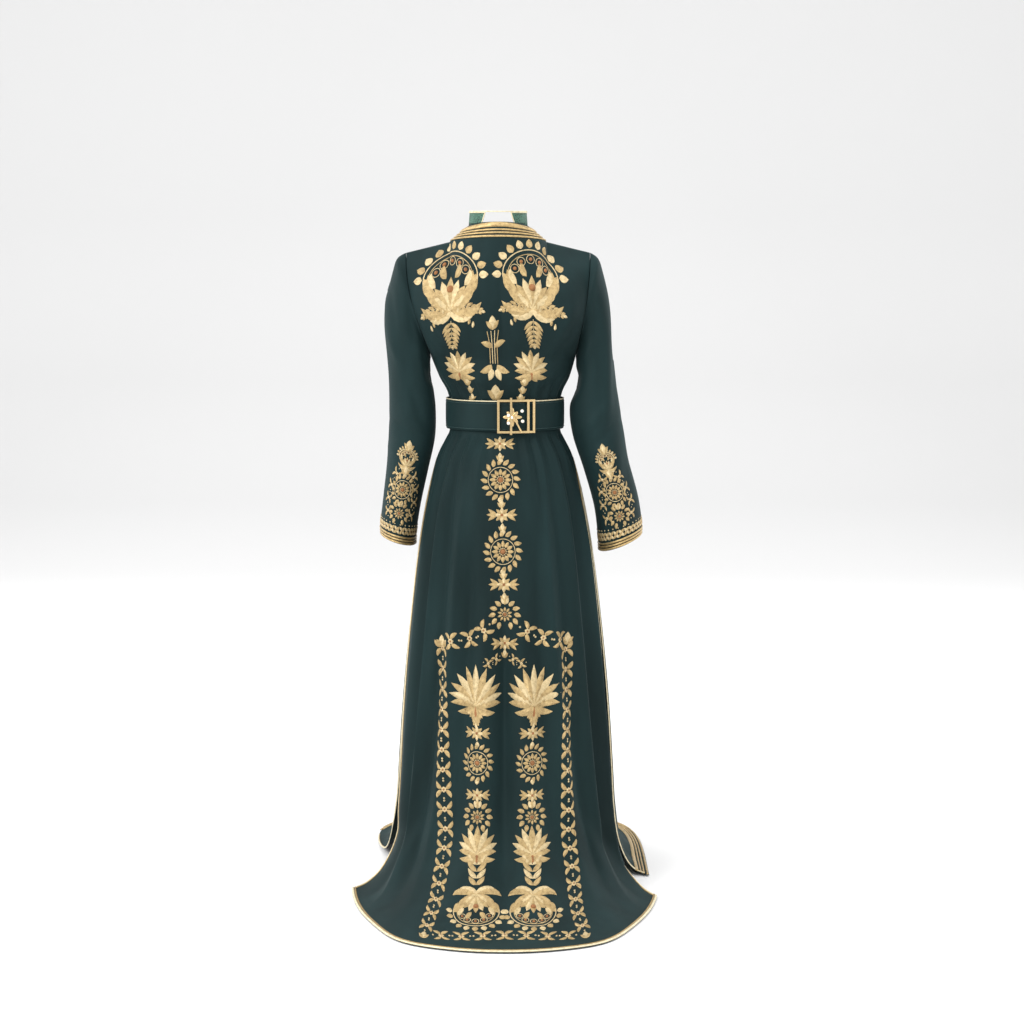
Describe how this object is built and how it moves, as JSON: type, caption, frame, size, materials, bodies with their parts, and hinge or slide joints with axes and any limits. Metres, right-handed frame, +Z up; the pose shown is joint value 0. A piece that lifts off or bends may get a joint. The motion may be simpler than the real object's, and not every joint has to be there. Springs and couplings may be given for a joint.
{
  "type": "moroccan kaftan",
  "caption": "Long belted kaftan with open front edges, straight sleeves, side slits, braid borders, a spread train and a frame buckle at the back, hollow as worn.",
  "frame": {"origin": "where the wearer's shoulders hold the garment, on its middle axis at the height of the neck's sides", "axes": "+Z up, -Y the front, +X the wearer's left, in metres"},
  "size_m": [0.6394, 0.9588, 1.4132],
  "materials": {
    "crepe": "matte",
    "belt_fabric": "matte",
    "braid": "satin",
    "piping": "satin",
    "lace": "matte",
    "gold_metal": "polished"
  },
  "bodies": {
    "root": {"back": "crepe", "front_left": "crepe", "front_right": "crepe", "sleeve_left": "crepe", "sleeve_right": "crepe", "belt": "belt_fabric", "border_middle_left": "braid", "border_middle_right": "braid", "border_hem_left": "braid", "border_hem_right": "braid", "border_neck": "braid", "border_cuff_left": "braid", "border_cuff_right": "braid", "hem_piping_back": "piping", "piping_slit_left": "piping", "piping_slit_right": "piping", "nape_cord": "piping", "neck_lace_left": "lace", "neck_lace_right": "lace", "buckle_frame": "gold_metal", "buckle_middle_bar": "gold_metal", "buckle_star": "gold_metal"}
  },
  "joints": []
}
